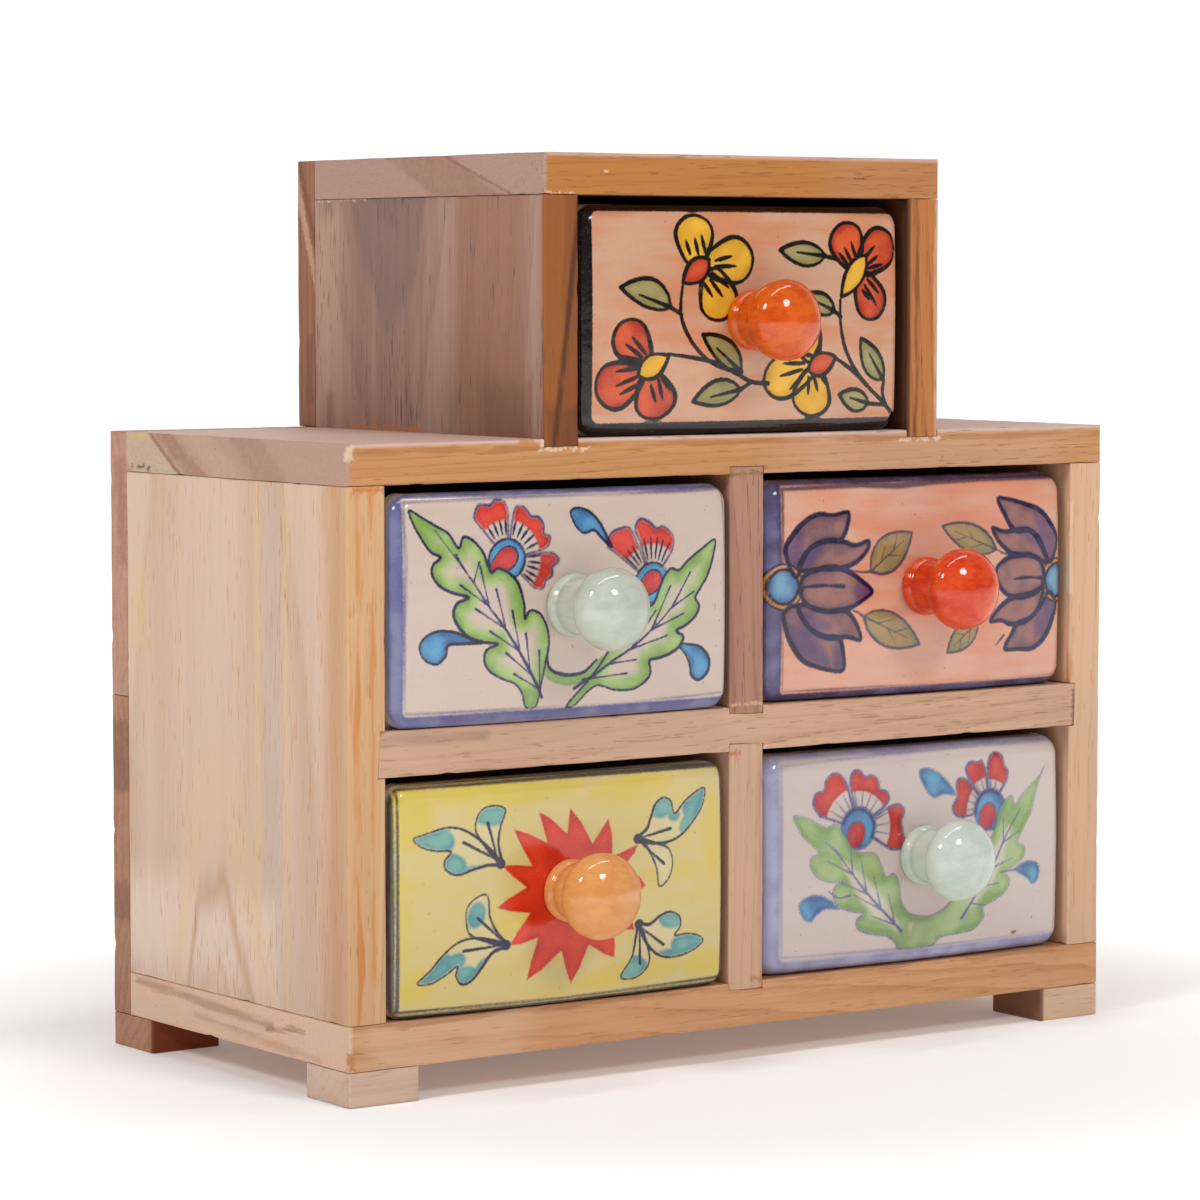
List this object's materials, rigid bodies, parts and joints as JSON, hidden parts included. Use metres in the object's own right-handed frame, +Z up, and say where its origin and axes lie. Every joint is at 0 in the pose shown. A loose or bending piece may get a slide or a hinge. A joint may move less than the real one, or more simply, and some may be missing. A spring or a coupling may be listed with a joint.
{
  "type": "stepped table chest with ceramic drawers",
  "caption": "Small stepped wooden chest on block feet, with crowned ceramic drawers that slide out by ball knobs.",
  "frame": {"origin": "on the floor, in the middle of the box that the chest and its knobs fill", "axes": "+Z up, +X to the right along the front, +Y from the front to the back; drawers open towards -Y"},
  "size_m": [0.2406, 0.1434, 0.2312],
  "materials": {
    "pale_hardwood": "satin",
    "brown_hardwood": "satin",
    "honey_hardwood": "satin",
    "peach_glaze": "gloss",
    "white_glaze": "gloss",
    "pink_glaze": "gloss",
    "yellow_glaze": "gloss",
    "orange_glaze": "gloss",
    "mint_glaze": "gloss",
    "vermilion_glaze": "gloss",
    "amber_glaze": "gloss"
  },
  "bodies": {
    "chest": {"lower_bottom": "honey_hardwood", "lower_left_side": "pale_hardwood", "lower_right_side": "pale_hardwood", "shelf": "honey_hardwood", "lower_divider": "pale_hardwood", "upper_divider": "brown_hardwood", "lower_top": "honey_hardwood", "lower_back_lower_board": "brown_hardwood", "lower_back_upper_board": "brown_hardwood", "foot_front_left": "pale_hardwood", "foot_front_right": "pale_hardwood", "foot_rear_left": "pale_hardwood", "foot_rear_right": "pale_hardwood", "upper_left_side": "brown_hardwood", "upper_right_side": "brown_hardwood", "upper_top": "honey_hardwood", "upper_back": "brown_hardwood"},
    "top_drawer": {"drawer_top": "peach_glaze", "knob_top": "orange_glaze"},
    "upper_left_drawer": {"drawer_upper_left": "white_glaze", "knob_upper_left": "mint_glaze"},
    "upper_right_drawer": {"drawer_upper_right": "pink_glaze", "knob_upper_right": "vermilion_glaze"},
    "lower_left_drawer": {"drawer_lower_left": "yellow_glaze", "knob_lower_left": "amber_glaze"},
    "lower_right_drawer": {"drawer_lower_right": "white_glaze", "knob_lower_right": "mint_glaze"}
  },
  "joints": [
    {"name": "top_drawer_slide", "type": "slide", "parent": "chest", "child": "top_drawer", "axis": [0, -1, 0], "range_m": [0, 0.085]},
    {"name": "upper_left_drawer_slide", "type": "slide", "parent": "chest", "child": "upper_left_drawer", "axis": [0, -1, 0], "range_m": [-0.003, 0.085]},
    {"name": "upper_right_drawer_slide", "type": "slide", "parent": "chest", "child": "upper_right_drawer", "axis": [0, -1, 0], "range_m": [0, 0.085]},
    {"name": "lower_left_drawer_slide", "type": "slide", "parent": "chest", "child": "lower_left_drawer", "axis": [0, -1, 0], "range_m": [-0.0014, 0.085]},
    {"name": "lower_right_drawer_slide", "type": "slide", "parent": "chest", "child": "lower_right_drawer", "axis": [0, -1, 0], "range_m": [0, 0.085]}
  ]
}
